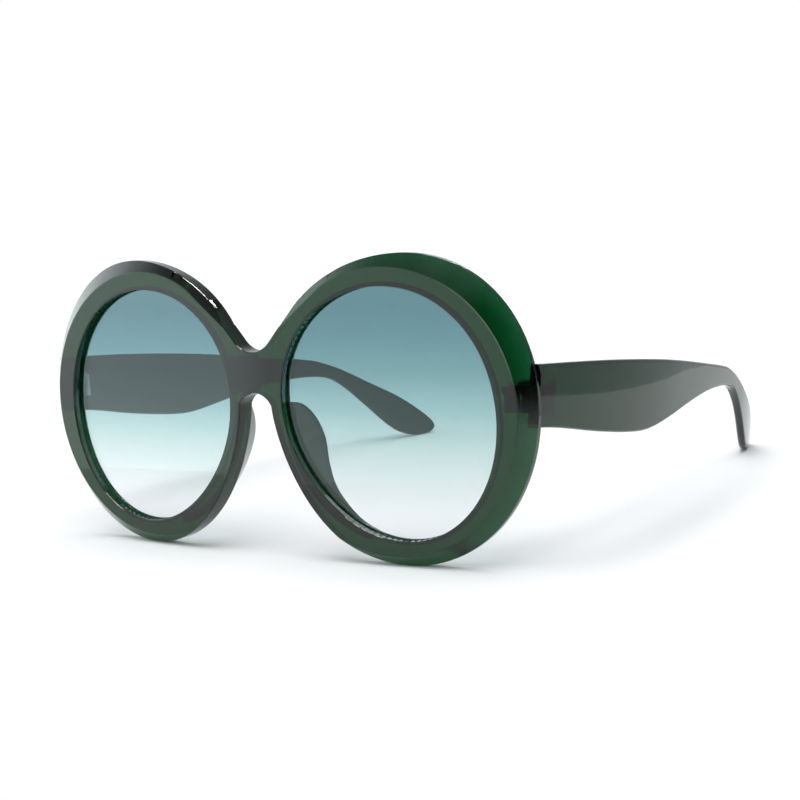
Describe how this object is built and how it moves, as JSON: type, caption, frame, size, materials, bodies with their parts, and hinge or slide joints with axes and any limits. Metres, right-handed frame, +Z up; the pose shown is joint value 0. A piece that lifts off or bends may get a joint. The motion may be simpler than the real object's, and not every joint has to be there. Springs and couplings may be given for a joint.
{
  "type": "oversized sunglasses",
  "caption": "Oversized round sunglasses with thick bevelled see-through green rims, gradient lenses, bonded nose pads and wide folding temples on metal hinges.",
  "frame": {"origin": "middle of the glasses' width and depth, on the table they stand on", "axes": "+X to the wearer's left, -Y the way the lenses face, +Z up"},
  "size_m": [0.146, 0.1502, 0.0675],
  "materials": {
    "green_acetate": "polished, dark green and slightly see-through",
    "gradient_lens": "polished, blue green at the top fading to clear at the bottom",
    "hinge_metal": "fine turned and stamped metal"
  },
  "bodies": {
    "front": {"front_frame": "green_acetate", "lens_left": "gradient_lens", "lens_right": "gradient_lens", "nose_pad_left": "green_acetate", "nose_pad_right": "green_acetate", "front_hinge_left": "hinge_metal", "front_hinge_right": "hinge_metal", "hinge_screw_left": "hinge_metal", "hinge_screw_right": "hinge_metal"},
    "left_arm": {"temple_left": "green_acetate", "temple_hinge_left": "hinge_metal"},
    "right_arm": {"temple_right": "green_acetate", "temple_hinge_right": "hinge_metal"}
  },
  "joints": [
    {"name": "left_fold", "type": "hinge", "parent": "front", "child": "left_arm", "pos_m": [0.06275, -0.06482, 0.03655], "axis": [0, 0, 1], "range_deg": [0, 87]},
    {"name": "right_fold", "type": "hinge", "parent": "front", "child": "right_arm", "pos_m": [-0.06275, -0.06482, 0.03655], "axis": [0, 0, -1], "range_deg": [0, 73]}
  ]
}
